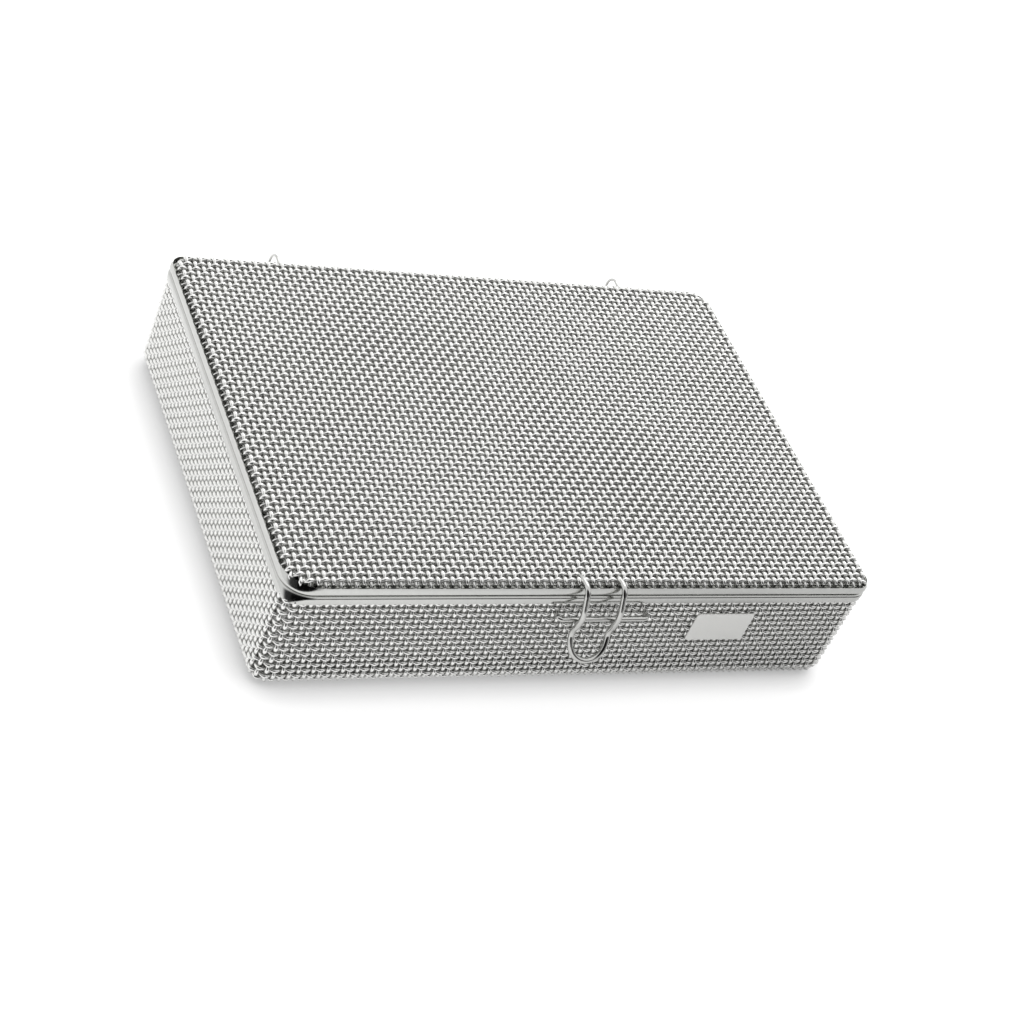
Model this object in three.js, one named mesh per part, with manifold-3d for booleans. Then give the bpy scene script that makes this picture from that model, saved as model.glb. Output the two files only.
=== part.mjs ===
// Mesh instrument box: a shallow tray of woven wire with a hinged lid of the same weave.
// The walls, floor and lid are plain weaves of flat bars, with their edges held in folded strips.
// Two wire rings hinge the lid at the back, and a sprung wire bail hooks a catch bar in front.
// Millimetres, +Z up, front towards -Y. The origin is the centre of the underside.
import * as THREE from 'three';
import { mergeVertices } from 'three/addons/utils/BufferGeometryUtils.js';
import Module from 'manifold-3d';

const wasm = await Module();
wasm.setup();

// Whole box, measured over the folded strips
const boxWidth = 210;
const boxDepth = 152;
const boxHeight = 46.4;
const rimCornerRadius = 9;
const footCornerRadius = 11;
const footFillet = 5.8;

// Woven sheet and the play it has in its neighbours
const weave = 1.2;
const slip = 0.3;

// Folded edge strips
const sheet = 0.3;
const stripHeight = 2.9;
const foldRadius = 0.9;
const stripGap = 0.3;
const lidRise = 2.5;
const meshGrip = 2.0;

// Weave of the lid, floor and walls, coarser than the real one
const lidColumns = 16;
const lidRows = 11;
const floorColumns = 12;
const floorRows = 8;
const wallColumns = 54;
const wallRows = 3;
const barWidth = 3.4;
const barBite = 0.04;
const wallFirstBar = 7;
const lidShoulder = 2.6;
const shoulderInsetShare = 0.5;
const shoulderDropShare = 0.17;
const lidMargin = 4;
const floorMargin = 3;
const hemWidth = 4;
const upstandHeight = 13;
const lapWidth = 8;
const lapThickness = 0.8;

// Hinge rings
const ringWire = 0.9;
const hingeSpread = 133;

// Latch bail and its catch bar
const bailWire = 2.0;
const bailWidth = 13.2;
const bailOffset = 1;
const bailToeLength = 4.5;
const bailToeSetback = 5.8;
const bailLift = 0.45;
const bailBow = 5.2;
const bailBowDrop = 6.5;
const bailKneeInset = 1.5;
const bailKneeDrop = 5.1;
const bailLoopReach = 4.6;
const bailLoopDrop = 8.5;
const catchWire = 1.8;
const catchLength = 34;
const catchOffset = 4.2;
const catchStandoff = 2.8;
const catchDrop = 7.25;
const catchBend = 1.6;

// Marking plate, left bare
const plateWidth = 22;
const plateHeight = 12.2;
const plateThickness = 0.5;
const plateCorner = 1.2;
const plateCentreX = 52;
const plateDrop = 11.3;

// How far a cut runs past its piece, and how near two points merge as a share of a thickness
const overrun = 1.8;
const mergeShare = 0.001;

// How near a bend of a bar may come to a crossing, as a share of the spacing
const nearShare = 0.08;

// Smoothness
const cornerSteps = 6;
const plateCornerSteps = 3;
const foldSteps = 2;
const filletSteps = 4;
const wireSides = 8;
const ringSteps = 24;
const bailSteps = 84;
const catchSteps = 22;

// Places that follow from the sizes above
const stripDepth = 2 * (sheet + slip) + weave;
const halfWidth = boxWidth / 2;
const halfDepth = boxDepth / 2;
const lidStripTop = boxHeight - lidRise;
const lidStripBase = lidStripTop - stripHeight;
const trayStripTop = lidStripBase - stripGap;
const trayStripBase = trayStripTop - stripHeight;
const seam = (lidStripBase + trayStripTop) / 2;
const plateCentreZ = trayStripBase - plateDrop;
const meshFace = sheet + slip;
const barThickness = (weave + barBite) / 2;
const barSwing = (weave - barThickness) / 2;
const wireRadius = bailWire / 2;
const catchRadius = catchWire / 2;
const hingeY = halfDepth + stripGap / 2;
const ringInner = Math.hypot(stripDepth + stripGap / 2, stripHeight + stripGap / 2) + slip;
const ringRadius = ringInner + ringWire / 2;
const catchY = -(halfDepth + catchStandoff);
const catchZ = seam - catchDrop;
const legGap = catchRadius + slip + wireRadius;
const loopY = catchY - legGap + bailKneeInset - bailLoopReach;
const frontReach = wireRadius - loopY;
const backReach = hingeY + ringRadius + ringWire / 2;
const boxShiftY = (frontReach - backReach) / 2;

// A closed mesh made into a solid that can be joined and cut
function toSolid(geometry) {
  const bare = geometry.clone();
  bare.deleteAttribute('normal');
  bare.deleteAttribute('uv');
  const merged = mergeVertices(bare, mergeShare * weave);
  const vertProperties = new Float32Array(merged.attributes.position.array);
  const triVerts = new Uint32Array(merged.index.array);
  return new wasm.Manifold(new wasm.Mesh({ numProp: 3, vertProperties, triVerts }));
}

// The same way back, for a scene mesh
function toGeometry(solid) {
  const mesh = solid.getMesh();
  const geometry = new THREE.BufferGeometry();
  geometry.setAttribute('position', new THREE.BufferAttribute(new Float32Array(mesh.vertProperties), 3));
  geometry.setIndex(new THREE.BufferAttribute(new Uint32Array(mesh.triVerts), 1));
  geometry.computeVertexNormals();
  return geometry;
}

function subtractAll(solid, cutters) {
  return cutters.reduce((rest, cutter) => rest.subtract(cutter), solid);
}

// Corner radius of the woven wall at height z, before its inset: wider towards the foot
function wallCorner(z) {
  const share = THREE.MathUtils.clamp((z - footFillet) / (trayStripBase - footFillet), 0, 1);
  return THREE.MathUtils.lerp(footCornerRadius, rimCornerRadius, share);
}

// Rounded rectangle at an inset from the outer faces, counter-clockwise from +X
function outline(inset, cornerRadius) {
  const radius = cornerRadius - inset;
  const cornerX = halfWidth - cornerRadius;
  const cornerY = halfDepth - cornerRadius;
  const points = [];
  for (const [signX, signY, start] of [[1, 1, 0], [-1, 1, 1], [-1, -1, 2], [1, -1, 3]]) {
    for (let i = 0; i <= cornerSteps; i += 1) {
      const angle = (start + i / cornerSteps) * Math.PI / 2;
      const x = signX * cornerX + radius * Math.cos(angle);
      const y = signY * cornerY + radius * Math.sin(angle);
      points.push(new THREE.Vector2(x, y));
    }
  }
  return points;
}

// A section point: inset from the outer face, height, and corner radius at inset 0
function at(inset, z, corner = rimCornerRadius) {
  return { inset, z, corner };
}

function rings(section) {
  return section.map(({ inset, z, corner }) => outline(inset, corner).map((p) => [p.x, p.y, z]));
}

// Joins a list of equal rings into a skin; closed joins the last ring to the first,
// otherwise both ends are capped flat
function skin(loops, closed) {
  const count = loops[0].length;
  const positions = loops.flat(2);
  const index = [];
  const spans = closed ? loops.length : loops.length - 1;
  for (let row = 0; row < spans; row += 1) {
    const next = (row + 1) % loops.length;
    for (let i = 0; i < count; i += 1) {
      const j = (i + 1) % count;
      const [a, b, c, d] = [row * count + i, row * count + j, next * count + j, next * count + i];
      index.push(a, b, c, a, c, d);
    }
  }
  if (!closed) {
    for (const [row, flip] of [[0, true], [loops.length - 1, false]]) {
      for (let i = 1; i < count - 1; i += 1) {
        const [a, b, c] = [row * count, row * count + i, row * count + i + 1];
        index.push(...(flip ? [a, c, b] : [a, b, c]));
      }
    }
  }
  const geometry = new THREE.BufferGeometry();
  geometry.setAttribute('position', new THREE.Float32BufferAttribute(positions, 3));
  geometry.setIndex(index);
  return geometry;
}

// Points of a quarter arc of a section, about a centre given as inset and height
function arc(centreInset, centreZ, radius, from, to, steps, cornerAt = () => rimCornerRadius) {
  const points = [];
  for (let i = 0; i <= steps; i += 1) {
    const angle = THREE.MathUtils.lerp(from, to, i / steps);
    const z = centreZ + radius * Math.sin(angle);
    points.push(at(centreInset - radius * Math.cos(angle), z, cornerAt(z)));
  }
  return points;
}

// Folded strip: a channel whose rounded fold faces down at heights base and mouth
function channel(base, mouth) {
  const up = Math.sign(mouth - base);
  const turn = -up * Math.PI / 2;
  const outer = base + up * foldRadius;
  const innerRadius = foldRadius - sheet;
  const section = [
    at(0, mouth),
    ...arc(foldRadius, outer, foldRadius, 0, turn, foldSteps),
    ...arc(stripDepth - foldRadius, outer, foldRadius, turn, 2 * turn, foldSteps),
    at(stripDepth, mouth),
    at(stripDepth - sheet, mouth),
    ...arc(stripDepth - foldRadius, outer, innerRadius, 2 * turn, turn, foldSteps),
    ...arc(foldRadius, outer, innerRadius, turn, 0, foldSteps),
    at(sheet, mouth),
  ];
  return skin(rings(up > 0 ? section.reverse() : section), true);
}

// Square prism that cuts one opening, its middle on a point and its depth along a direction
function opening(width, height, depth, point, direction) {
  const box = new THREE.BoxGeometry(width, height, depth);
  const frame = new THREE.Object3D();
  frame.up.set(0, 0, 1);
  if (Math.abs(direction.z) > Math.abs(direction.x) + Math.abs(direction.y)) {
    frame.up.set(0, 1, 0);
  }
  frame.position.copy(point);
  frame.lookAt(point.clone().add(direction));
  frame.updateMatrix();
  return toSolid(box.applyMatrix4(frame.matrix));
}

// Swing of a bar at a crossing: to one side of the sheet or the other, by turns
function swingAt(column, row) {
  return (column + row) % 2 === 0 ? barSwing : -barSwing;
}

// Flat bar of the weave through its stations. At each of them its middle swings along the
// outward direction, and the bar's width lies across that direction and the bar's travel
function bar(stations, closed) {
  const loops = stations.map(({ point, travel, out, swing }) => {
    const middle = point.clone().addScaledVector(out, swing);
    const across = out.clone().cross(travel).multiplyScalar(barWidth / 2);
    const rise = out.clone().multiplyScalar(barThickness / 2);
    return [[-1, -1], [1, -1], [1, 1], [-1, 1]].map(([side, face]) => {
      return middle.clone().addScaledVector(across, side).addScaledVector(rise, face).toArray();
    });
  });
  return toSolid(skin(loops, closed));
}

// Plain weave of a flat field: bars along x and bars along y pass over and under each other.
// Their ends lie in the middle of the edge that holds them
function fieldBars(inset, columns, rows, z) {
  const out = new THREE.Vector3(0, 0, 1);
  const alongX = new THREE.Vector3(1, 0, 0);
  const alongY = new THREE.Vector3(0, 1, 0);
  const place = (column, row) => {
    const x = (2 * column / columns - 1) * (halfWidth - inset);
    const y = (2 * row / rows - 1) * (halfDepth - inset);
    return new THREE.Vector3(x, y, z);
  };
  const bars = [];
  for (let row = 1; row < rows; row += 1) {
    const stations = [];
    for (let column = 0; column <= columns; column += 1) {
      const swing = column % columns === 0 ? 0 : swingAt(column, row);
      stations.push({ point: place(column, row), travel: alongX, out, swing });
    }
    bars.push(bar(stations, false));
  }
  for (let column = 1; column < columns; column += 1) {
    const stations = [];
    for (let row = 0; row <= rows; row += 1) {
      const swing = row % rows === 0 ? 0 : -swingAt(column, row);
      stations.push({ point: place(column, row), travel: alongY, out, swing });
    }
    bars.push(bar(stations, false));
  }
  return bars;
}

// Window of a flat field, inside the edge that holds the bars' ends
function fieldWindow(inset, z) {
  const [width, depth] = [halfWidth, halfDepth].map((half) => 2 * (half - inset) - barWidth);
  const box = new THREE.BoxGeometry(width, depth, weave + 2 * overrun);
  box.translate(0, 0, z);
  return toSolid(box);
}

// Point and outward direction at a distance along a closed outline
function along(points, distance) {
  let rest = distance;
  for (let i = 0; i < points.length; i += 1) {
    const a = points[i];
    const b = points[(i + 1) % points.length];
    const length = a.distanceTo(b);
    if (rest <= length) {
      const p = a.clone().lerp(b, rest / length);
      const out = new THREE.Vector3(b.y - a.y, a.x - b.x, 0).normalize();
      return { p, out };
    }
    rest -= length;
  }
  return along(points, rest);
}

function perimeter(points) {
  return points.reduce((sum, p, i) => sum + p.distanceTo(points[(i + 1) % points.length]), 0);
}

// Middle line of the upright band at a row of crossings: columns count from the seam at the
// back, and bends are the columns at which the line turns
function bandLine(row) {
  const z = THREE.MathUtils.lerp(wallFirstBar, catchZ, row / wallRows);
  const path = outline(meshFace + weave / 2, wallCorner(z));
  const spacing = perimeter(path) / wallColumns;
  const start = wallColumns / 4 - (halfDepth - wallCorner(z)) / spacing;
  const station = (column, travel, swing) => {
    const { p, out } = along(path, (start + column) * spacing);
    const way = travel ?? new THREE.Vector3(-out.y, out.x, 0);
    return { point: new THREE.Vector3(p.x, p.y, z), travel: way, out, swing };
  };
  const bends = [];
  let walked = 0;
  path.forEach((p, i) => {
    bends.push((walked / spacing - start + wallColumns) % wallColumns);
    walked += p.distanceTo(path[(i + 1) % path.length]);
  });
  return { station, bends };
}

// Plain weave of the upright band: closed hoops, and uprights spaced evenly from the seam
function bandBars() {
  const lines = [];
  for (let row = 0; row <= wallRows; row += 1) {
    lines.push(bandLine(row));
  }
  const crossings = [...Array(wallColumns).keys()];
  const bars = [];
  for (let row = 1; row < wallRows; row += 1) {
    const { station, bends } = lines[row];
    const clear = bends.filter((column) => Math.abs(column - Math.round(column)) > nearShare);
    const columns = [...crossings, ...clear].sort((a, b) => a - b);
    bars.push(bar(columns.map((column) => {
      const before = Math.floor(column);
      const swing = THREE.MathUtils.lerp(
        swingAt(before, row),
        swingAt(before + 1, row),
        column - before,
      );
      return station(column, null, swing);
    }), true));
  }
  const up = new THREE.Vector3(0, 0, 1);
  for (const column of crossings) {
    bars.push(bar(lines.map(({ station }, row) => {
      return station(column, up, row % wallRows === 0 ? 0 : -swingAt(column, row));
    }), false));
  }
  return bars;
}

// Closed ring of round wire that turns about the hinge line
function hingeRing(x, wire) {
  const profile = [];
  for (let i = 0; i <= wireSides; i += 1) {
    const angle = i / wireSides * 2 * Math.PI;
    const reach = ringRadius + wire / 2 * Math.cos(angle);
    profile.push(new THREE.Vector2(reach, wire / 2 * Math.sin(angle)));
  }
  const geometry = new THREE.LatheGeometry(profile, ringSteps);
  geometry.rotateZ(Math.PI / 2);
  geometry.translate(x, hingeY, seam);
  return geometry;
}

const ringClearance = [-1, 1].map((side) => {
  return toSolid(hingeRing(side * hingeSpread / 2, ringWire + 2 * slip));
});

// Round wire along a path whose corners are eased by short curves
function wireForm(points, radius, ease, steps) {
  const path = new THREE.CurvePath();
  let from = points[0];
  for (let i = 1; i < points.length - 1; i += 1) {
    const corner = points[i];
    const reachIn = Math.min(ease, corner.distanceTo(points[i - 1]) / 2);
    const reachOut = Math.min(ease, corner.distanceTo(points[i + 1]) / 2);
    const before = corner.clone().lerp(points[i - 1], reachIn / corner.distanceTo(points[i - 1]));
    const after = corner.clone().lerp(points[i + 1], reachOut / corner.distanceTo(points[i + 1]));
    if (before.distanceTo(from) > radius * mergeShare) {
      path.add(new THREE.LineCurve3(from, before));
    }
    path.add(new THREE.QuadraticBezierCurve3(before, corner, after));
    from = after;
  }
  path.add(new THREE.LineCurve3(from, points[points.length - 1]));
  const section = new THREE.Shape();
  for (let i = 0; i < wireSides; i += 1) {
    const angle = (i + 0.5) / wireSides * 2 * Math.PI;
    const [x, y] = [radius * Math.cos(angle), radius * Math.sin(angle)];
    if (i === 0) {
      section.moveTo(x, y);
    } else {
      section.lineTo(x, y);
    }
  }
  section.closePath();
  return new THREE.ExtrudeGeometry(section, { steps, extrudePath: path });
}

// Woven band of the walls: upright, then turned in under the floor as a hem
function wallMesh() {
  const inner = meshFace + weave;
  const top = trayStripBase + meshGrip;
  const pivot = meshFace + footFillet;
  const hemEnd = pivot + hemWidth;
  const foot = Math.PI / 2;
  const section = [
    at(meshFace, top, wallCorner(top)),
    ...arc(pivot, footFillet, footFillet, 0, -foot, filletSteps, wallCorner),
    at(hemEnd, 0, footCornerRadius),
    at(hemEnd, weave, footCornerRadius),
    ...arc(pivot, footFillet, footFillet - weave, -foot, 0, filletSteps, wallCorner),
    at(inner, top, wallCorner(top)),
  ];
  const band = toSolid(skin(rings(section.reverse()), true));
  const lapHeight = trayStripBase - upstandHeight - 2 * slip;
  const lapZ = upstandHeight + slip + lapHeight / 2;
  const lap = new THREE.BoxGeometry(lapWidth, lapThickness + weave / 2, lapHeight);
  lap.translate(0, halfDepth - inner + (weave / 2 - lapThickness) / 2, lapZ);
  const windowHeight = catchZ - wallFirstBar - barWidth;
  const window = new THREE.BoxGeometry(boxWidth + overrun, boxDepth + overrun, windowHeight);
  window.translate(0, 0, (catchZ + wallFirstBar) / 2);
  const edges = subtractAll(band, [toSolid(window), ...ringClearance]);
  return toGeometry(wasm.Manifold.union([edges, ...bandBars(), toSolid(lap)]));
}

// Woven floor pan that lies on the hem, its upstand inside the band
function floorMesh() {
  const face = meshFace + weave + slip;
  const base = weave + slip;
  const fillet = footFillet - weave - slip;
  const pivot = face + fillet;
  const foot = Math.PI / 2;
  const section = [
    ...arc(pivot, base + fillet, fillet - weave, -foot, 0, filletSteps, wallCorner),
    at(face + weave, upstandHeight, wallCorner(upstandHeight)),
    at(face, upstandHeight, wallCorner(upstandHeight)),
    ...arc(pivot, base + fillet, fillet, 0, -foot, filletSteps, wallCorner),
  ];
  const pan = toSolid(skin(rings(section.reverse()), false));
  const inset = pivot + floorMargin;
  const middle = base + weave / 2;
  const edge = pan.subtract(fieldWindow(inset, middle));
  return toGeometry(wasm.Manifold.union([edge, ...fieldBars(inset, floorColumns, floorRows, middle)]));
}

// Woven lid: a shallow raised dish whose edge stands in the lid strip
function lidMesh() {
  const foot = lidStripTop - meshGrip;
  const plateau = meshFace + lidShoulder;
  const section = [
    at(plateau + weave / 2, boxHeight - weave),
    at(meshFace + weave, lidStripTop + slip),
    at(meshFace + weave, foot),
    at(meshFace, foot),
    at(meshFace, lidStripTop + slip + weave / 2),
    at(meshFace + lidShoulder * shoulderInsetShare, boxHeight - lidRise * shoulderDropShare),
    at(plateau, boxHeight),
  ];
  const dish = toSolid(skin(rings(section), false));
  const inset = plateau + lidMargin;
  const middle = boxHeight - weave / 2;
  const cutters = [fieldWindow(inset, middle)];
  const slotFrom = meshFace;
  const slotTo = meshFace + bailToeSetback + wireRadius + slip;
  for (const side of [-1, 1]) {
    const x = bailOffset + side * bailWidth / 2;
    const point = new THREE.Vector3(x, (slotFrom + slotTo) / 2 - halfDepth, boxHeight);
    const up = new THREE.Vector3(0, 0, 1);
    const depth = 2 * (lidRise + slip);
    cutters.push(opening(bailWire + 2 * slip, slotTo - slotFrom, depth, point, up));
  }
  const edge = subtractAll(dish, [...cutters, ...ringClearance]);
  return toGeometry(wasm.Manifold.union([edge, ...fieldBars(inset, lidColumns, lidRows, middle)]));
}

// Centre line of one bail leg seen from the side, from its toe under the lid to the loop
const toeY = meshFace + bailToeSetback - halfDepth;
const toeZ = boxHeight - weave - slip - wireRadius;
const legSide = [
  [toeY, toeZ],
  [stripDepth - halfDepth, lidStripTop + bailLift + wireRadius],
  [-(halfDepth + bailLift + wireRadius), lidStripTop + bailLift + wireRadius],
  [-(halfDepth + bailBow), lidStripTop - bailBowDrop],
  [catchY - legGap, catchZ],
  [catchY - legGap + bailKneeInset, catchZ - bailKneeDrop],
];

// Wire bail: turned-out toes, two legs over the strip and the catch bar, and a finger loop
function bail() {
  const half = bailWidth / 2;
  const leg = (side) => legSide.map(([y, z]) => new THREE.Vector3(bailOffset + side * half, y, z));
  const [kneeY, kneeZ] = legSide[legSide.length - 1];
  const slope = Math.hypot(bailLoopReach, bailLoopDrop);
  const loop = [];
  const loopPoints = cornerSteps + 2;
  for (let i = 0; i <= loopPoints; i += 1) {
    const angle = i / loopPoints * Math.PI;
    const share = (slope - half + half * Math.sin(angle)) / slope;
    const y = kneeY - bailLoopReach * share;
    loop.push(new THREE.Vector3(bailOffset - half * Math.cos(angle), y, kneeZ - bailLoopDrop * share));
  }
  const toe = (side) => new THREE.Vector3(bailOffset + side * (half + bailToeLength), toeY, toeZ);
  const points = [toe(-1), ...leg(-1), ...loop, ...leg(1).reverse(), toe(1)];
  return wireForm(points, wireRadius, bailWire, bailSteps);
}

// Catch bar: a staple of wire that stands off the front wall
function catchBar() {
  const half = catchLength / 2 - catchRadius;
  const seat = -(halfDepth - meshFace + slip);
  const points = [
    new THREE.Vector3(catchOffset - half, seat, catchZ),
    new THREE.Vector3(catchOffset - half, catchY, catchZ),
    new THREE.Vector3(catchOffset + half, catchY, catchZ),
    new THREE.Vector3(catchOffset + half, seat, catchZ),
  ];
  return wireForm(points, catchRadius, catchBend, catchSteps);
}

// Bare marking plate with rounded corners
function plate() {
  const [w, h, r] = [plateWidth / 2, plateHeight / 2, plateCorner];
  const shape = new THREE.Shape();
  shape.absarc(w - r, h - r, r, 0, Math.PI / 2);
  shape.absarc(r - w, h - r, r, Math.PI / 2, Math.PI);
  shape.absarc(r - w, r - h, r, Math.PI, Math.PI * 1.5);
  shape.absarc(w - r, r - h, r, Math.PI * 1.5, Math.PI * 2);
  shape.closePath();
  const settings = { depth: plateThickness, bevelEnabled: false, curveSegments: plateCornerSteps };
  const geometry = new THREE.ExtrudeGeometry(shape, settings);
  geometry.rotateX(Math.PI / 2);
  geometry.translate(plateCentreX, -(halfDepth - meshFace + slip), plateCentreZ);
  return geometry;
}

// Stainless steel as the mesh, the polished strips and wires, and the satin plate show it
const woven = new THREE.MeshStandardMaterial({ color: 0xc9c9c7, roughness: 0.38, metalness: 1 });
const polished = new THREE.MeshStandardMaterial({ color: 0xd2d2d0, roughness: 0.22, metalness: 1 });
const satin = new THREE.MeshStandardMaterial({ color: 0xcfcfcd, roughness: 0.5, metalness: 1 });

function piece(name, geometry, material) {
  const mesh = new THREE.Mesh(geometry, material);
  mesh.name = name;
  return mesh;
}

const tray = new THREE.Group();
tray.add(piece('tray_wall_mesh', wallMesh(), woven));
tray.add(piece('tray_floor_mesh', floorMesh(), woven));
tray.add(piece('tray_rim_strip', channel(trayStripTop, trayStripBase), polished));
tray.add(piece('hinge_ring_left', hingeRing(-hingeSpread / 2, ringWire), polished));
tray.add(piece('hinge_ring_right', hingeRing(hingeSpread / 2, ringWire), polished));
tray.add(piece('catch_bar', catchBar(), polished));
tray.add(piece('marking_plate', plate(), satin));

const lid = new THREE.Group();
lid.add(piece('lid_mesh', lidMesh(), woven));
lid.add(piece('lid_frame_strip', channel(lidStripBase, lidStripTop), polished));
lid.add(piece('latch_bail', bail(), polished));

const box = new THREE.Group();
box.add(tray, lid);
box.position.y = boxShiftY;

const part = new THREE.Group();
part.add(box);

export default part;
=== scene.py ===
import bpy
import numpy as np
from mathutils import Matrix, Vector


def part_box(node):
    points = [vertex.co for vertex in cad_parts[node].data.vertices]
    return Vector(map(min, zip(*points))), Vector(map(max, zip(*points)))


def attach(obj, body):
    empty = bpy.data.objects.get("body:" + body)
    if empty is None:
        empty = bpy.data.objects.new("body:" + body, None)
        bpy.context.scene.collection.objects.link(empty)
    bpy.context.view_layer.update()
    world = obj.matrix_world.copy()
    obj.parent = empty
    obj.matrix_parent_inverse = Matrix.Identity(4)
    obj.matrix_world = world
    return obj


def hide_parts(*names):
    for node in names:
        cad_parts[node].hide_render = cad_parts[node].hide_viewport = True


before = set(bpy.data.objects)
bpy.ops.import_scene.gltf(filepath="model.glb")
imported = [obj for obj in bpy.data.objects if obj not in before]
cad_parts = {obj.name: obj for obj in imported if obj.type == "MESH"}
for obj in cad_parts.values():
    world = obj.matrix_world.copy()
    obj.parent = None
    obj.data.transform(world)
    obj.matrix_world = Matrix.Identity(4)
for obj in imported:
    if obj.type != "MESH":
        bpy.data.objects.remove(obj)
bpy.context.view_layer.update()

MM = 0.001


def node_box(node):
    """Lowest and highest corner of a CAD node, in millimetres."""
    low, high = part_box(node)
    return np.array(low) / MM, np.array(high) / MM


# Whole box, read from the frame
lid_strip_low, lid_strip_high = node_box("lid_frame_strip")
tray_strip_low, tray_strip_high = node_box("tray_rim_strip")
half_width = lid_strip_high[0]
half_depth = (lid_strip_high[1] - lid_strip_low[1]) / 2
centre_y = (lid_strip_high[1] + lid_strip_low[1]) / 2
box_top = node_box("lid_mesh")[1][2]

# Corner radii of the outline at inset 0: the woven wall, and the lid mesh, which the press left
# squarer in some corners, as [[front left, back left], [front right, back right]]
wall_radius = 6.0
lid_corners = np.array([[11.0, 8.0], [6.5, 8.5]])

# How much of each side a corner of the wall takes up, and the tightest that it bends
corner_reach = 15.0
tightest_bend = 1.2

# Plain weave at a pitch of 2.43 mm: the wire is rolled wider on each crest, and neck is its share
# of that width between crests. Crimp is how far its centre swings to either side of the sheet.
wire = 1.5
neck = 0.72
pitch = 2.43
crimp = 0.52
rings_per_pitch = 4
weave_half = crimp + wire / 2


def in_scene(name, data):
    """A new object of the scene that shows a mesh, a camera or a lamp."""
    thing = bpy.data.objects.new(name, data)
    bpy.context.scene.collection.objects.link(thing)
    return thing


def add_mesh(name, vertices, faces, body, material, sharp=None):
    """One finished piece: vertices (n, 3) in millimetres about the box's centre, and a list of face
    arrays, each (m, corners). It is moved to the frame's place, shaded smooth, apart from edges
    past the sharp angle, and set on its body."""
    corners = np.concatenate([part.ravel() for part in faces])
    counts = np.concatenate([np.full(len(part), part.shape[1]) for part in faces])
    starts = np.concatenate([[0], np.cumsum(counts)[:-1]])
    places = (np.asarray(vertices) + [0, centre_y, 0]) * MM
    mesh = bpy.data.meshes.new(name)
    mesh.vertices.add(len(places))
    mesh.vertices.foreach_set("co", places.astype(np.float32).ravel())
    mesh.loops.add(len(corners))
    mesh.loops.foreach_set("vertex_index", corners.astype(np.int32))
    mesh.polygons.add(len(counts))
    mesh.polygons.foreach_set("loop_start", starts.astype(np.int32))
    mesh.update(calc_edges=True)
    mesh.polygons.foreach_set("use_smooth", np.ones(len(counts), bool))
    if sharp is not None:
        mesh.set_sharp_from_angle(angle=np.radians(sharp))
    mesh.materials.append(material)
    piece = in_scene(name, mesh)
    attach(piece, body)
    return piece


def unit(vectors):
    """Vectors divided by their lengths."""
    return vectors / np.linalg.norm(vectors, axis=-1, keepdims=True)


def grid_faces(rows, columns, wrap_rows, wrap_columns):
    """Quads (row, column), (row, column + 1), (row + 1, column + 1), (row + 1, column) of a grid of
    points numbered row by row; a wrapped direction joins its last line to its first."""
    row = np.arange(rows if wrap_rows else rows - 1)[:, None]
    column = np.arange(columns if wrap_columns else columns - 1)[None, :]
    below, right = (row + 1) % rows, (column + 1) % columns
    quads = [row * columns + column, row * columns + right,
             below * columns + right, below * columns + column]
    return np.stack([np.broadcast_to(q, (row.size, column.size)) for q in quads], -1).reshape(-1, 4)


def tubes(centres, normals, radius, sides, closed=False):
    """Round wires. Round each point of a centre line lies a ring: radius * (cos a * across + sin a
    * beside), where beside is tangent x normal and across is beside x tangent. centres and normals
    are (wires, points, 3), and radius is a number or (wires, points). Gives vertices and faces,
    with flat end caps unless closed."""
    wires, points = centres.shape[:2]
    if closed:
        tangents = unit(np.roll(centres, -1, 1) - np.roll(centres, 1, 1))
    else:
        tangents = unit(np.gradient(centres, axis=1))
    beside = unit(np.cross(tangents, normals))
    across = np.cross(beside, tangents)
    angle = np.arange(sides) / sides * 2 * np.pi
    ring = across[:, :, None] * np.cos(angle)[:, None] + beside[:, :, None] * np.sin(angle)[:, None]
    radius = np.broadcast_to(radius, (wires, points))[:, :, None, None]
    vertices = (centres[:, :, None] + radius * ring).reshape(-1, 3)
    offsets = (np.arange(wires) * points * sides)[:, None, None]
    faces = [(grid_faces(points, sides, closed, True)[None] + offsets).reshape(-1, 4)]
    if not closed:
        start = np.arange(sides)[::-1]
        end = np.arange(sides) + (points - 1) * sides
        faces += [start + offsets[:, 0], end + offsets[:, 0]]
    return vertices, faces


# Columns of the upright weave: along a long side, a short side and a corner
long_count, short_count, corner_count = 74, 50, 10
wall_columns = 2 * (long_count + short_count + 2 * corner_count)


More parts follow.
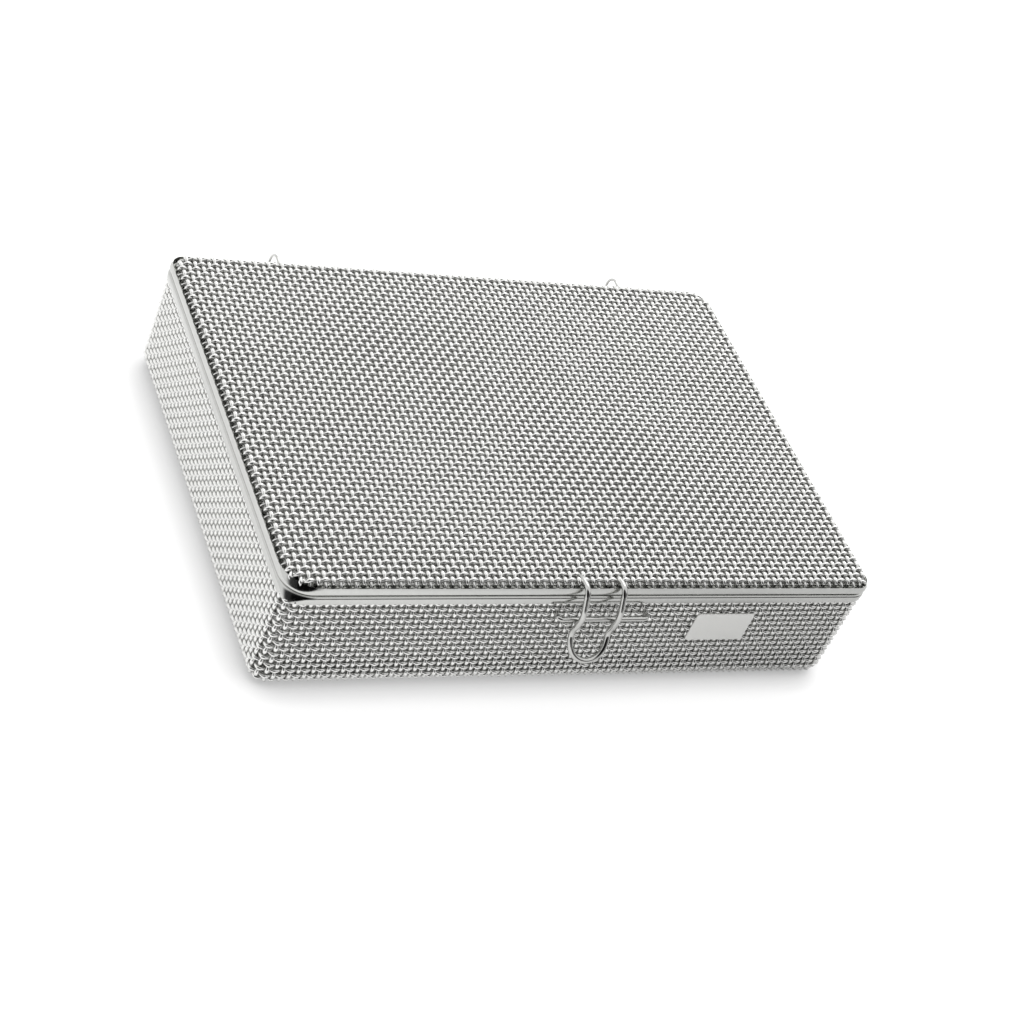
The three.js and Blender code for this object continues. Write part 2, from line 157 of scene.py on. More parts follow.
def rim_point(column, inset):
    """Point and outward direction on the woven wall's rounded rectangle at a column count along it,
    from the middle of the back over the left side. Each side has a fixed straight run; between
    runs a corner is a straight rest, a quarter arc and a straight rest, shared evenly by its
    columns."""
    column = np.mod(column + long_count / 2, wall_columns)
    xy = np.zeros(np.broadcast(column, inset).shape + (2,))
    out = np.zeros_like(xy)
    bend_radius = np.maximum(wall_radius - inset, tightest_bend)
    rest = corner_reach - inset - bend_radius
    bend = bend_radius * np.pi / 2
    start = 0
    for index, facing in enumerate([(0, 1), (-1, 0), (0, -1), (1, 0)]):
        count = short_count if index % 2 else long_count
        wall, run = (half_width, half_depth) if index % 2 else (half_depth, half_width)
        facing = np.array(facing, float)
        along = np.array([-facing[1], facing[0]])
        half_run = run - corner_reach
        share = (column - start) / count
        here = ((share >= 0) & (share < 1))[..., None]
        place = (wall - inset)[..., None] * facing + ((2 * share - 1) * half_run)[..., None] * along
        xy = np.where(here, place, xy)
        out = np.where(here, facing, out)
        start += count
        share = (column - start) / corner_count
        here = ((share >= 0) & (share < 1))[..., None]
        travel = share * (2 * rest + bend)
        turn = np.clip((travel - rest) / bend_radius, 0, np.pi / 2)
        ahead = half_run + np.clip(travel, 0, rest) + bend_radius * np.sin(turn)
        back = bend_radius * (1 - np.cos(turn)) + np.clip(travel - rest - bend, 0, rest)
        place = ahead[..., None] * along + (wall - inset - back)[..., None] * facing
        xy = np.where(here, place, xy)
        turned = np.cos(turn)[..., None] * facing + np.sin(turn)[..., None] * along
        out = np.where(here, turned, out)
        start += corner_count
    return xy, out


def profile(steps):
    """A section given as rows of inset, height and facing angle. Gives a function of the distance
    along it, and the whole length."""
    length = np.concatenate([[0], np.cumsum(np.hypot(*np.diff(steps[:, :2], axis=0).T))])

    def at(distance):
        """Inset, height and facing angle at a distance."""
        return tuple(np.interp(distance, length, steps[:, k]) for k in range(3))

    return at, length[-1]


def arc_steps(centre_inset, centre_height, radius, start, end, count=12):
    """Points of an arc in a section, each with the angle that the surface faces: 0 is outward and
    90 degrees is up."""
    angle = np.radians(np.linspace(start, end, count))
    inset = centre_inset - radius * np.cos(angle)
    height = centre_height + radius * np.sin(angle)
    return np.stack([inset, height, angle], 1)


def band(section, columns, closed, family, edge=None):
    """Crimped wires of an upright band. A point of the sheet is a column count round the rim and a
    distance down the section. Hoops follow a row and uprights follow a column; each swings by
    crimp * cos(pi * count) to alternate sides of the sheet at every crossing. edge gives the
    distance at which the sheet starts at a column: uprights start there, and the hoops above run
    along it."""
    at, length = section
    rows = int(round(length / pitch))
    step = length / rows
    if family == "hoops":
        first, last = columns
        column = np.arange(first * rings_per_pitch, last * rings_per_pitch + (0 if closed else 1))
        column = (column / rings_per_pitch)[None, :]
        distance = (np.arange(rows) + 0.5)[:, None] * step
        wave = np.cos(np.pi * column) * np.cos(np.pi * (distance / step - 0.5))
        if edge is not None:
            distance = np.maximum(distance, edge(column))
    else:
        column = np.arange(columns[0], columns[1] + (0 if closed else 1))[:, None]
        start = 0 if edge is None else edge(column)
        share = np.linspace(0, 1, rows * rings_per_pitch + 1)[None, :]
        distance = start + (length - start) * share
        wave = -np.cos(np.pi * column) * np.cos(np.pi * (distance / step - 0.5))
    inset, height, facing = at(distance)
    shape = np.broadcast(column, distance).shape
    column, inset, height, facing = (
        np.broadcast_to(values, shape) for values in (column, inset, height, facing))
    xy, out = rim_point(column, inset)
    centre = np.concatenate([xy, height[..., None]], -1)
    normal = np.concatenate([out * np.cos(facing)[..., None], np.sin(facing)[..., None]], -1)
    swing = crimp * np.broadcast_to(wave, shape)
    return centre + normal * swing[..., None], normal, swing


# Tray wall: flush with the strips, from just inside the rim strip down to the fillet and in under
# the floor as a hem
foot_fillet = 5.8
wall_clearance = 0.03
wall_inset = weave_half + wall_clearance
held_in_strip = 0.5
hem_reach = 10.4
whole_rim = (0, wall_columns)
wall_section = profile(np.concatenate([
    [[wall_inset, tray_strip_low[2] + held_in_strip, 0.0]],
    arc_steps(foot_fillet, foot_fillet, foot_fillet - wall_inset, 0, -90),
    [[hem_reach, wall_inset, -np.pi / 2]],
]))

# Lap of the wall's seam, a few columns wide, inside the wall at the middle of the back
lap_columns = (-2, 2)
lap_foot = 9.0
inner_inset = wall_inset + 2 * weave_half
lap_section = profile(np.array([
    [inner_inset, tray_strip_low[2], 0.0],
    [inner_inset, lap_foot, 0.0],
]))

# Floor pan: its mesh lies on the hem and stands up inside the wall. The corners of its flat part
# are a little rounder than the fillet alone would make them.
pan_base = 3 * weave_half
pan_fillet = 2.6
pan_centre = inner_inset + pan_fillet
pan_corners = np.full((2, 2), pan_centre + 1.5)
upstand_top = 17.7
pan_section = profile(np.concatenate([
    [[inner_inset, upstand_top, 0.0]],
    arc_steps(pan_centre, pan_base + pan_fillet, pan_fillet, 0, -90),
]))


def upstand_edge(column):
    """How far below its highest point the pan's upper edge lies at a column. The edge isn't level:
    it is low at the back right and high at the front right, as seen through the lid."""
    columns = [0, 37, 47, 97, 144, 181, 191, 241, 251, 288]
    heights = [7.8, 8.6, 11.0, 13.0, 13.0, 15.5, 17.7, 12.2, 4.0, 7.8]
    return upstand_top - np.interp(np.mod(column, wall_columns), columns, heights)


# Lid: raised field with a slow and a quick dip in it, and a short steep shoulder down into the
# strip
lid_edge = 1.2
shoulder = 2.1
shoulder_power = 2.6
lid_seat = 0.9
lid_clearance = 0.02
lid_low = lid_strip_high[2] - lid_seat
lid_high = box_top - weave_half - lid_clearance
slow_dip = 0.3
quick_dip = 0.16

# A wire's end in a flat field: extra rings at these distances from it, and the least share of its
# swing that is left there. The swing shrinks over the last hold millimetres.
end_rings = np.array([0.3, 0.6, 0.9, 1.3, 1.8])
least_swing = 0.3
lid_hold = 0.6
floor_hold = 0.1

# How far the wires of a flat field drift from their straight rows
weave_drift = 0.3


def field_inset(x, y, corners):
    """Distance inside a rounded rectangle: radius minus the distance to the corner's centre in a
    corner, and the distance to the nearer side elsewhere. Each corner has its own radius."""
    radius = corners[(x > 0).astype(int), (y > 0).astype(int)]
    qx = np.abs(x) - (half_width - radius)
    qy = np.abs(y) - (half_depth - radius)
    from_corner = np.hypot(np.maximum(qx, 0), np.maximum(qy, 0))
    return radius - from_corner - np.minimum(np.maximum(qx, qy), 0)


def lid_height(x, y):
    """Middle of the lid mesh: low + rise * (1 - (1 - share) ** power), with share the inset over
    the shoulder's width, less a slow and a quick wave over the field, each of them 1/2 + 1/2 *
    sine * sine."""
    share = np.clip((field_inset(x, y, lid_corners) - lid_edge) / shoulder, 0, 1)
    slow = 0.5 + 0.5 * np.sin(x / 19 + y / 31 + 0.7) * np.sin(y / 17 - x / 43 + 0.3)
    quick = 0.5 + 0.5 * np.sin(x / 4.1 - y / 5.7) * np.sin(y / 4.9 + x / 7.3 + 1.9)
    dip = (slow_dip * slow + quick_dip * quick) * share
    return lid_low + (lid_high - lid_low) * (1 - (1 - share) ** shoulder_power) - dip


def floor_height(x, y):
    """Middle of the floor mesh: flat."""
    return np.full(np.broadcast(x, y).shape, pan_base)


def field(height, edge_inset, corners, family, rings, hold):
    """Crimped wires of a flat field inside a rounded rectangle. A wire keeps its row or column,
    ends where the edge cuts it, and swings by crimp * cos(pi * count) to alternate sides, less in
    its last hold millimetres, where it also has more rings. The wires drift in the sheet by
    weave_drift * fade * (sine of the run * cosine of the stack + 1/4 of a quick sine), with fade
    (1 - (run / half) ** 2) * (1 - (stack / half) ** 2), which is nothing at the edges."""
    across = family == "across"
    half_run, half_stack = (half_width, half_depth) if across else (half_depth, half_width)
    count = int(2 * (half_stack - edge_inset) / pitch)
    other = int(2 * (half_run - edge_inset) / pitch)
    stack = ((np.arange(count) - (count - 1) / 2) * pitch)[:, None]
    far = (stack > 0).astype(int)
    ends = []
    for side in (0, 1):
        radius = corners[side, far] if across else corners[far, side]
        beyond = np.clip(np.abs(stack) - (half_stack - radius), 0, radius - edge_inset)
        ends.append(half_run - radius + np.sqrt((radius - edge_inset) ** 2 - beyond ** 2))
    close = end_rings / half_run
    even = np.linspace(-1, 1, rings * other + 1)
    share = np.sort(np.concatenate([even, close - 1, 1 - close]))[None, :]
    run = np.where(share < 0, ends[0], ends[1]) * share
    held = np.clip((1 - np.abs(share)) * half_run / hold, least_swing, 1)
    sign = 1 - 2 * (np.arange(count) % 2)[:, None]
    wave = sign * np.cos(np.pi * (run / pitch + (other - 1) / 2)) * (1 if across else -1)
    fade = (1 - (run / half_run) ** 2) * (1 - (stack / half_stack) ** 2)
    shift = weave_drift * fade * np.sin(run / 23 + 0.4) * np.cos(stack / 29 + 1.1)
    shift = shift + 0.25 * weave_drift * fade * np.sin(run / 5.3 + 7.7 * stack)
    x, y = (run, stack + shift) if across else (stack + shift, run)
    x, y = np.broadcast_arrays(x, y)
    step = 0.05
    slope_x = (height(x + step, y) - height(x - step, y)) / (2 * step)
    slope_y = (height(x, y + step) - height(x, y - step)) / (2 * step)
    normal = unit(np.stack([-slope_x, -slope_y, np.ones_like(x)], -1))
    swing = crimp * np.broadcast_to(wave, x.shape)
    return np.stack([x, y, height(x, y)], -1) + normal * (swing * held)[..., None], normal, swing


def srgb(code):
    """A six-digit sRGB hex colour as linear red, green, blue and alpha."""
    values = np.array([int(code[i:i + 2], 16) for i in (0, 2, 4)]) / 255
    linear = np.where(values <= 0.04045, values / 12.92, ((values + 0.055) / 1.055) ** 2.4)
    return (*linear.tolist(), 1.0)


def add_node(tree, kind, settings=None, inputs=None, links=None):
    """A shader node with its settings, socket values and incoming links."""
    node = tree.nodes.new(kind)
    for key, value in (settings or {}).items():
        setattr(node, key, value)
    for key, value in (inputs or {}).items():
        node.inputs[key].default_value = value
    for key, source in (links or {}).items():
        tree.links.new(source, node.inputs[key])
    return node


def blank_tree(owner):
    """The emptied node tree of a material or world."""
    owner.use_nodes = True
    owner.node_tree.nodes.clear()
    return owner.node_tree


def metal(name, light, dark, roughness, spread, grain_mm, bump_mm, recess_shade=None):
    """Bare metal: colour and roughness wander between two values with a noise of a real grain size
    on Object coordinates, and the same noise raises a fine bump. With a recess shade colour, the
    metal turns to it where the crest attribute is low, which paints shade into the recesses of a
    weave. In a colour Mix node, inputs 0, 6 and 7 are the factor and the two colours, and output 2
    is the result."""
    material = bpy.data.materials.new(name)
    tree = blank_tree(material)
    place = add_node(tree, "ShaderNodeTexCoord")
    grain = add_node(tree, "ShaderNodeTexNoise",
                     inputs={"Scale": 1 / (grain_mm * MM), "Detail": 3.0},
                     links={"Vector": place.outputs["Object"]})
    colour = add_node(tree, "ShaderNodeMix", {"data_type": "RGBA"},
                      {6: srgb(dark), 7: srgb(light)}, {0: grain.outputs["Fac"]})
    if recess_shade:
        # Painted shade: the colour turns to the recess shade colour towards the middle of the weave
        kept = add_node(tree, "ShaderNodeAttribute", {"attribute_name": "crest"})
        bright = add_node(tree, "ShaderNodeMapRange", {"interpolation_type": "SMOOTHSTEP"},
                          {"From Min": 0.15, "From Max": 0.55}, {"Value": kept.outputs["Fac"]})
        colour = add_node(tree, "ShaderNodeMix", {"data_type": "RGBA"}, {6: srgb(recess_shade)},
                          {0: bright.outputs["Result"], 7: colour.outputs[2]})
    rough = add_node(tree, "ShaderNodeMapRange",
                     inputs={"To Min": roughness - spread, "To Max": roughness + spread},
                     links={"Value": grain.outputs["Fac"]})
    bump = add_node(tree, "ShaderNodeBump", inputs={"Strength": 0.5, "Distance": bump_mm * MM},
                    links={"Height": grain.outputs["Fac"]})
    shader = add_node(tree, "ShaderNodeBsdfPrincipled", inputs={"Metallic": 1.0},
                      links={"Base Color": colour.outputs[2], "Roughness": rough.outputs["Result"],
                             "Normal": bump.outputs["Normal"]})
    add_node(tree, "ShaderNodeOutputMaterial", links={"Surface": shader.outputs["BSDF"]})
    return material


# Bright drawn stainless wire, polished, with painted shade: its colour turns darker towards the
# middle of the weave's thickness, in the recesses where the crossing wires shade each other.
# Its tone wanders over about 1.1 mm, the length of a drawing mark.
drawn_wire = metal("bright_drawn_stainless_wire", "f6f6f4", "eaeae8", roughness=0.26, spread=0.06,
                   grain_mm=1.1, bump_mm=0.004, recess_shade="d2d2d0")
# Polished folded stainless sheet: nearly a mirror, with faint rolling marks about 2 mm long
folded_sheet = metal("polished_folded_stainless_sheet", "cecfcc", "c0c0be", roughness=0.14,
                     spread=0.04, grain_mm=2.0, bump_mm=0.002)
# Polished stainless spring wire: a clean mirror with a dark core between light edges, and faint
# polishing marks about 1.5 mm long
spring_wire = metal("polished_stainless_spring_wire", "cdcdca", "bcbcba", roughness=0.12,
                    spread=0.04, grain_mm=1.5, bump_mm=0.002)
# Satin blasted stainless sheet: an even surface that scatters the light. Its grain is about 0.1 mm,
# and is drawn at 0.35 mm, as coarse as it needs to be to show.
satin_sheet = metal("satin_blasted_stainless_sheet", "f4f4f2", "ecece9", roughness=0.5, spread=0.04,
                    grain_mm=0.35, bump_mm=0.006)


def woven(name, body, node, sides, families):
    """The pieces of one woven node: each family of wires, cut into groups. The wire's radius is
    wire / 2 * (neck + (1 - neck) * (swing / crimp) ** 2). Each vertex keeps its place in the
    sheet's thickness: |swing + offset from the wire's centre along the normal| over
    half the thickness, which is 1 on a crest and 0 in the sheet's middle. The wire's material
    paints shade where that value is low."""
    for label, (centres, normals, swing), closed, groups in families:
        for index, group in enumerate(np.array_split(np.arange(len(centres)), groups)):
            line, normal, lift = centres[group], normals[group], swing[group]
            radius = wire / 2 * (neck + (1 - neck) * (lift / crimp) ** 2)
            vertices, faces = tubes(line, normal, radius, sides, closed)
            rings = vertices.reshape(*line.shape[:2], sides, 3) - line[:, :, None]
            offset = (rings * normal[:, :, None]).sum(-1)
            crest = np.abs(lift[:, :, None] + offset) / weave_half
            piece = add_mesh(f"{name}_{label}_{index + 1}", vertices, faces, body, drawn_wire)
            kept = piece.data.attributes.new("crest", "FLOAT", "POINT")
            kept.data.foreach_set("value", crest.ravel().astype(np.float32))
            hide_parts(node)


def lid_weave():
    """The lid's two families of wires, over its whole raised field."""
    shape = (lid_height, lid_edge, lid_corners)
    long_wires = field(*shape, "across", rings_per_pitch, lid_hold)
    deep_wires = field(*shape, "lengthwise", rings_per_pitch, lid_hold)
    woven("lid", "lid", "lid_mesh", 6, [
        ("wires_along_length", long_wires, False, 2),
        ("wires_along_depth", deep_wires, False, 2),
    ])


def wall_weave():
    """The wall's closed hoops and its uprights, and the lap of its seam."""
    woven("tray_wall", "tray", "tray_wall_mesh", 6, [
        ("hoops", band(wall_section, whole_rim, True, "hoops"), True, 2),
        ("uprights", band(wall_section, whole_rim, True, "uprights"), False, 2),
        ("lap_rows", band(lap_section, lap_columns, False, "hoops"), False, 1),
        ("lap_uprights", band(lap_section, lap_columns, False, "uprights"), False, 1),
    ])


def floor_weave():
    """The floor pan's upstand, under its uneven upper edge, and its flat part."""
    upstand_hoops = band(pan_section, whole_rim, True, "hoops", upstand_edge)
    upstand_uprights = band(pan_section, whole_rim, True, "uprights", upstand_edge)
    shape = (floor_height, pan_centre, pan_corners)
    woven("tray_floor", "tray", "tray_floor_mesh", 5, [
        ("upstand_hoops", upstand_hoops, True, 1),
        ("upstand_uprights", upstand_uprights, False, 1),
        ("wires_along_length", field(*shape, "across", 3, floor_hold), False, 1),
        ("wires_along_depth", field(*shape, "lengthwise", 3, floor_hold), False, 1),
    ])


# Folded strips: a channel of 0.3 mm sheet with a round fold, and lips drawn in to the mesh
sheet = 0.3
strip_depth = 2.4
fold_radius = 1.1
lip_draw = 0.35
corner_steps = 14

# Height left between a fold and the face that it meets, and how far the lips reach past the strip
fold_gap = 0.1
lid_lip_rise = 0.3
tray_lip_drop = 0.5


def strip(name, node, body, base, mouth, base_radii, mouth_radii):
    """A channel carried round the rim. Its section goes from the outer lip, which is drawn in by
    lip_draw * (1 - share) ** 2, round the fold to the inner lip and back inside. Each corner's
    radius goes evenly from the fold to the mouth, in the order back right, back left, front left,
    front right."""
    up = np.sign(mouth - base)
    fold = base + up * fold_radius
    turn = np.linspace(0, np.pi / 2, 9)
    bulge = np.linspace(0, 1, 5)
    outer_wall = np.stack([lip_draw * (1 - bulge) ** 2, mouth + (fold - mouth) * bulge], 1)
    outer_fold = np.stack([fold_radius * (1 - np.cos(turn)),
                           fold - up * fold_radius * np.sin(turn)], 1)
    inner_fold = np.stack([strip_depth - outer_fold[::-1, 0], outer_fold[::-1, 1]], 1)
    inner_wall = np.stack([strip_depth - outer_wall[::-1, 0] * 0.5, outer_wall[::-1, 1]], 1)
    outside = np.concatenate([outer_wall, outer_fold[1:], inner_fold, inner_wall[1:]])
    tangent = unit(np.gradient(outside, axis=0))
    inside = outside + sheet * up * np.stack([-tangent[:, 1], tangent[:, 0]], 1)
    section = np.concatenate([outside, inside[::-1]])
    if up > 0:
        section = section[::-1]
    share = np.clip((section[:, 1] - base) / (mouth - base), 0, 1)[None, :]
    quarter = np.repeat(np.arange(4), corner_steps + 1)
    angle = (quarter + np.tile(np.linspace(0, 1, corner_steps + 1), 4)) * np.pi / 2
    low, high = np.array(base_radii)[quarter][:, None], np.array(mouth_radii)[quarter][:, None]
    radius = low + (high - low) * share
    sign_x = np.array([1, -1, -1, 1])[quarter][:, None]
    sign_y = np.array([1, 1, -1, -1])[quarter][:, None]
    reach = radius - section[:, 0][None, :]
    x = sign_x * (half_width - radius) + reach * np.cos(angle)[:, None]
    y = sign_y * (half_depth - radius) + reach * np.sin(angle)[:, None]
    z = np.broadcast_to(section[:, 1], x.shape)
    vertices = np.stack([x, y, z], -1).reshape(-1, 3)
    faces = [grid_faces(*x.shape, True, True)]
    piece = add_mesh(name, vertices, faces, body, folded_sheet, sharp=35)
    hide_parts(node)


def hinge_ring(name, node):
    """A closed ring of wire: a circle about the hinge line, in the plane across it."""
    low, high = node_box(node)
    centre = (low + high) / 2 - [0, centre_y, 0]
    gauge = high[0] - low[0]
    radius = (high[2] - low[2] - gauge) / 2
    turn = np.arange(64) / 64 * 2 * np.pi
    out = np.stack([np.zeros_like(turn), np.cos(turn), np.sin(turn)], 1)
    vertices, faces = tubes((centre + radius * out)[None], out[None], gauge / 2, 12, True)
    piece = add_mesh(name, vertices, faces, "tray", spring_wire)
    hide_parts(node)


def eased(points, ease, spacing):
    """A path through a few points whose corners are quadratic curves that start and end one ease
    length from the corner, or half way to the next point, resampled at an even spacing."""
    points = np.array(points, float)
    before, corner, after = points[:-2], points[1:-1], points[2:]
    reach_in = np.minimum(ease / np.linalg.norm(before - corner, axis=1), 0.5)[:, None]
    reach_out = np.minimum(ease / np.linalg.norm(after - corner, axis=1), 0.5)[:, None]
    start, end = corner + (before - corner) * reach_in, corner + (after - corner) * reach_out
    t = np.linspace(0, 1, 13)[None, :, None]
    start, corner, end = start[:, None], corner[:, None], end[:, None]
    curves = (1 - t) ** 2 * start + 2 * t * (1 - t) * corner + t ** 2 * end
    path = np.concatenate([points[:1], curves.reshape(-1, 3), points[-1:]])
    steps = np.linalg.norm(np.diff(path, axis=0), axis=1)
    path, steps = path[np.concatenate([[True], steps > 1e-6])], steps[steps > 1e-6]
    length = np.concatenate([[0], np.cumsum(steps)])
    even = np.linspace(0, length[-1], int(length[-1] / spacing) + 1)
    return np.stack([np.interp(even, length, path[:, k]) for k in range(3)], 1)


# Front line of the catch staple's wire
catch_low, catch_high = node_box("catch_bar")
catch_gauge = catch_high[2] - catch_low[2]
catch_y = catch_low[1] - centre_y + catch_gauge / 2
catch_z = (catch_low[2] + catch_high[2]) / 2

# Latch bail: its wire, half the distance between its legs, the middle of the two, its turned-out
# toes, how far it stands off the lid strip, and how far its finger loop reaches forward and down
# from the knees
bail_wire = 2.0
bail_half = 6.6
bail_x = 1.0
toe_length = 4.5
toe_y = -69.6
stand_off = 1.45
loop_reach, loop_drop = 4.6, 8.5


def bail():
    """One wire: turned-out toes, two legs and a finger loop, which is a half circle at the end of
    the slope down from the knees. Its centre line lies on a sheet that runs straight across, so the
    sheet's normal steers the wire's rings."""
    strip_top = lid_strip_high[2]
    # Down one leg as (y, z): toe, over the strip, past its edge, out, over the catch, knee
    side = [
        (toe_y, strip_top),
        (strip_depth - half_depth, strip_top + stand_off),
        (-(half_depth + stand_off), strip_top + stand_off),
        (-(half_depth + 5.2), strip_top - 6.5),
        (catch_y - 2.2, catch_z),
        (catch_y - 0.7, catch_z - 5.1),
    ]
    knee_y, knee_z = side[-1]
    slope = np.hypot(loop_reach, loop_drop)
    angle = np.linspace(0, np.pi, 9)
    share = (slope - bail_half + bail_half * np.sin(angle)) / slope
    loop = np.stack([bail_x - bail_half * np.cos(angle),
                     knee_y - loop_reach * share, knee_z - loop_drop * share], 1)
    left = [(bail_x - bail_half, y, z) for y, z in side]
    right = [(bail_x + bail_half, y, z) for y, z in side[::-1]]
    toes = [[(bail_x + sign * (bail_half + toe_length), *side[0])] for sign in (-1, 1)]
    path = eased(toes[0] + left + loop.tolist() + right + toes[1], bail_wire, 0.35)
    down = np.gradient(path[:, 1:], axis=0)
    down = down * np.where(path[:, :1] < bail_x, 1, -1)
    strength = np.linalg.norm(down, axis=1)
    clear = strength > 0.1 * strength.max()
    count = np.arange(len(path))
    down = unit(np.stack([np.interp(count, count[clear], down[clear, k]) for k in range(2)], 1))
    normals = np.stack([np.zeros(len(path)), down[:, 1], -down[:, 0]], 1)
    vertices, faces = tubes(path[None], normals[None], bail_wire / 2 * 0.98, 16)
    piece = add_mesh("latch_bail_wire", vertices, faces, "latch", spring_wire,
                     sharp=50)
    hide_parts("latch_bail")


def catch_bar():
    """A staple: one wire bent twice in a level plane."""
    seat_y = catch_high[1] - centre_y
    left, right = catch_low[0] + catch_gauge / 2, catch_high[0] - catch_gauge / 2
    bends = [(left, seat_y, catch_z), (left, catch_y, catch_z),
             (right, catch_y, catch_z), (right, seat_y, catch_z)]
    path = eased(bends, 1.6, 0.3)
    normals = np.broadcast_to([0.0, 0.0, 1.0], path.shape)
    vertices, faces = tubes(path[None], normals[None], catch_gauge / 2, 16)
    piece = add_mesh("catch_bar_wire", vertices, faces, "tray", spring_wire,
                     sharp=50)
    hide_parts("catch_bar")


lid_weave()
wall_weave()
floor_weave()
strip("lid_strip_folded", "lid_frame_strip", "lid",
      base=lid_strip_low[2] + fold_gap, mouth=lid_strip_high[2] + lid_lip_rise,
      base_radii=(8, 5.5, 9, 6), mouth_radii=(8, 5.5, 12.5, 6))
strip("tray_strip_folded", "tray_rim_strip", "tray",
      base=tray_strip_high[2] - fold_gap, mouth=tray_strip_low[2] - tray_lip_drop,
      base_radii=(8, 5.5, 11.8, 6), mouth_radii=(7, 5.5, 6.2, 6))
hinge_ring("hinge_ring_left_wire", "hinge_ring_left")
hinge_ring("hinge_ring_right_wire", "hinge_ring_right")
bail()
catch_bar()

# The plate's own solid has the right shape, so it stays and gets its finish
plate_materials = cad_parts["marking_plate"].data.materials
plate_materials.clear()
plate_materials.append(satin_sheet)


def camera():
    """The photograph's view: a place, then a turn about up, a dip and a roll."""
    data = bpy.data.cameras.new("camera")
    data.lens = 79.94
    data.sensor_width = 36.0
    data.clip_start = 0.01
    piece = in_scene("camera", data)
    turn = Matrix.Rotation(np.radians(-36.8026), 4, "Z")
    tilt = Matrix.Rotation(np.radians(90 - 38.4481), 4, "X")
    roll = Matrix.Rotation(np.radians(25.8891), 4, "Z")
    place = Matrix.Translation(Vector((-356.088, -492.687 + centre_y, 490.618)) * MM)
    piece.matrix_world = place @ turn @ tilt @ roll
    bpy.context.scene.camera = piece


def shown(tree, path):
    """A factor of 1 for what the camera sees directly or through the weave, else 0."""
    return add_node(tree, "ShaderNodeMath", {"operation": "MAXIMUM"},
                    links={0: path.outputs["Is Camera Ray"],
                           1: path.outputs["Is Transmission Ray"]})


def dim_patch(tree, way, middle, start, end, left):
    """A soft round patch of the surroundings: 1 outside it and left inside. start and end are the
    cosines of its outer and inner edge about the middle direction. In a world, Generated is the
    direction of the ray."""
    facing = add_node(tree, "ShaderNodeVectorMath", {"operation": "DOT_PRODUCT"},
                      {1: tuple(Vector(middle).normalized())}, {0: way.outputs["Generated"]})
    return add_node(tree, "ShaderNodeMapRange", {"interpolation_type": "SMOOTHSTEP"},
                    {"From Min": start, "From Max": end, "To Min": 1.0, "To Max": left},
                    {"Value": facing.outputs["Value"]}).outputs["Result"]


def surroundings():
    """White surroundings at a strength of 1, which the metal mirrors too, with a dark room behind
    the camera and to its right. The mirrored strength is the product of the dim patches; the
    camera sees plain white."""
    world = bpy.data.worlds.new("studio")
    bpy.context.scene.world = world
    tree = blank_tree(world)
    way = add_node(tree, "ShaderNodeTexCoord")
    patches = [
        dim_patch(tree, way, (-0.5, -0.72, 0.42), start=0.68, end=0.86, left=0.04),
        dim_patch(tree, way, (-0.224, -0.837, 0.5), start=0.82, end=0.90, left=0.08),
        dim_patch(tree, way, (0.68, -0.73, -0.05), start=0.74, end=0.92, left=0.12),
    ]
    strength = patches[0]
    for patch in patches[1:]:
        strength = add_node(tree, "ShaderNodeMath", {"operation": "MULTIPLY"},
                            links={0: strength, 1: patch}).outputs[0]
    seen = shown(tree, add_node(tree, "ShaderNodeLightPath"))
    lit = add_node(tree, "ShaderNodeBackground", inputs={"Color": (1, 1, 1, 1)},
                   links={"Strength": strength})
    white = add_node(tree, "ShaderNodeBackground", inputs={"Color": (1, 1, 1, 1), "Strength": 1.0})
    mix = add_node(tree, "ShaderNodeMixShader",
                   links={0: seen.outputs[0], 1: lit.outputs[0], 2: white.outputs[0]})
    add_node(tree, "ShaderNodeOutputWorld", links={"Surface": mix.outputs[0]})


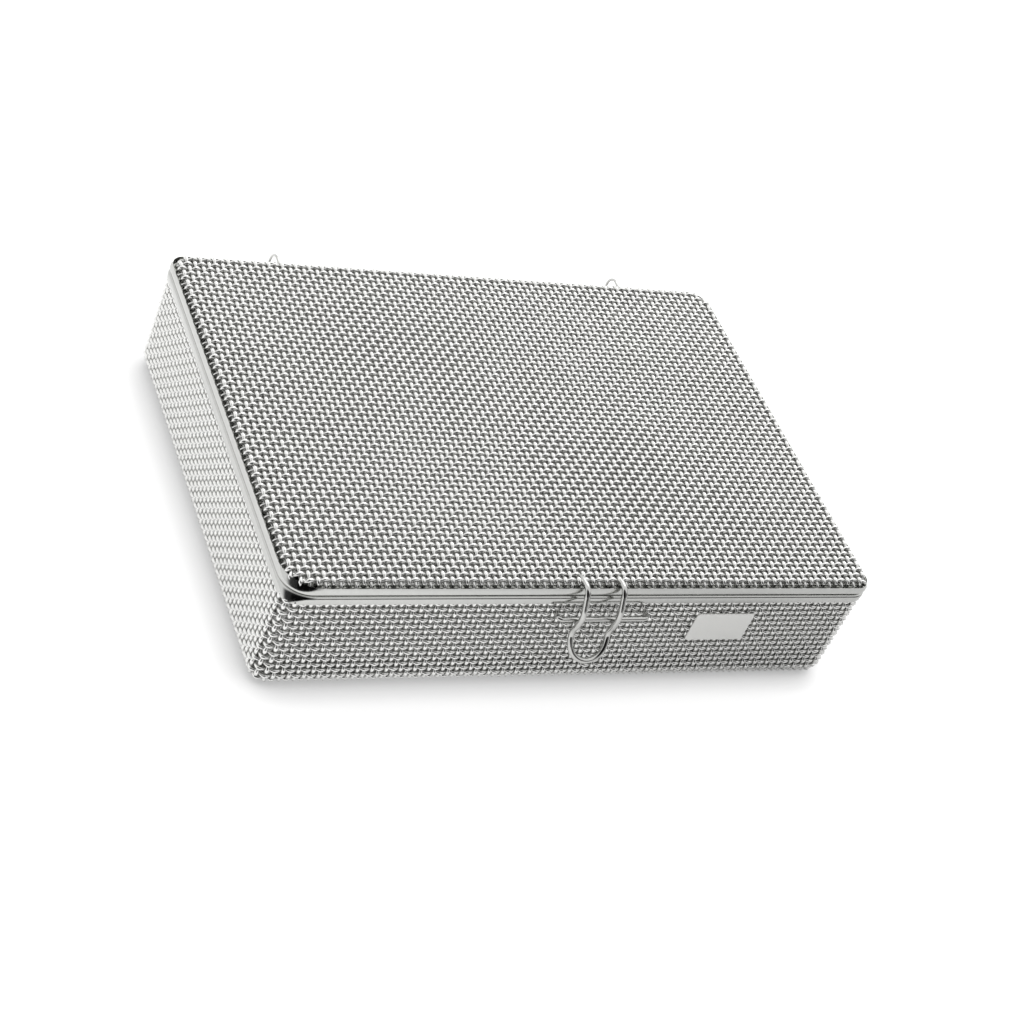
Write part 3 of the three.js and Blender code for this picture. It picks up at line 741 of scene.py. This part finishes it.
def paper_sweep():
    """White paper. To the camera it is a dimmed sheet that takes the real shadow, plus a glow that
    falls off within contact_mm of the box: a painted contact shadow on top of the real one. The
    metal mirrors that at the left, and more and more the plainly lit sheet towards the right,
    which paints the mirrored floor brighter at the left."""
    contact_mm = 14.0
    material = bpy.data.materials.new("white_paper_sweep")
    tree = blank_tree(material)
    path = add_node(tree, "ShaderNodeLightPath")
    seen = shown(tree, path)
    place = add_node(tree, "ShaderNodeNewGeometry")
    along = add_node(tree, "ShaderNodeSeparateXYZ", links={0: place.outputs["Position"]})
    # Painted reflection: the floor that the metal mirrors is brighter at the left and fades to the
    # plainly lit sheet towards the right
    fading = add_node(tree, "ShaderNodeMapRange",
                      inputs={"From Min": -40.0 * MM, "From Max": 100.0 * MM,
                              "To Min": 1.0, "To Max": 0.0},
                      links={"Value": along.outputs["X"]})
    mirrored = add_node(tree, "ShaderNodeMath", {"operation": "MULTIPLY"},
                        links={0: path.outputs["Is Glossy Ray"], 1: fading.outputs["Result"]})
    white = add_node(tree, "ShaderNodeMath", {"operation": "MAXIMUM"},
                     links={0: seen.outputs[0], 1: mirrored.outputs[0]})
    paper = add_node(tree, "ShaderNodeBsdfDiffuse", inputs={"Color": srgb("f2f2f2")})
    # Painted contact shadow: the glow dims where the box closes in over the paper
    near = add_node(tree, "ShaderNodeAmbientOcclusion", {"samples": 8},
                    {"Distance": contact_mm * MM})
    glow = add_node(tree, "ShaderNodeMapRange",
                    inputs={"From Min": 0.35, "From Max": 0.9, "To Min": 0.4, "To Max": 0.82},
                    links={"Value": near.outputs["AO"]})
    lift = add_node(tree, "ShaderNodeEmission", inputs={"Color": (1, 1, 1, 1)},
                    links={"Strength": glow.outputs["Result"]})
    dimmed = add_node(tree, "ShaderNodeBsdfDiffuse", inputs={"Color": srgb("a8a8a8")})
    both = add_node(tree, "ShaderNodeAddShader", links={0: dimmed.outputs[0], 1: lift.outputs[0]})
    mix = add_node(tree, "ShaderNodeMixShader",
                   links={0: white.outputs[0], 1: paper.outputs[0], 2: both.outputs[0]})
    add_node(tree, "ShaderNodeOutputMaterial", links={"Surface": mix.outputs[0]})
    return material


def floor():
    """One square of white paper under the box."""
    side = 6000.0 * MM
    mesh = bpy.data.meshes.new("floor")
    corners = [(-side, -side, 0), (side, -side, 0), (side, side, 0), (-side, side, 0)]
    mesh.from_pydata(corners, [], [(0, 1, 2, 3)])
    mesh.materials.append(paper_sweep())
    in_scene("floor", mesh)


def softbox(name, place, size, power):
    """A square area lamp that faces the box."""
    data = bpy.data.lights.new(name, "AREA")
    data.size = size * MM
    data.energy = power
    piece = in_scene(name, data)
    spot = Vector(place) * MM
    aim = (-spot).to_track_quat("-Z", "Y").to_matrix().to_4x4()
    piece.matrix_world = Matrix.Translation(spot) @ aim


camera()
surroundings()
floor()
softbox("softbox_back_right", (420, 620, 900), 900, 4.0)

bpy.context.scene.view_settings.view_transform = "Standard"
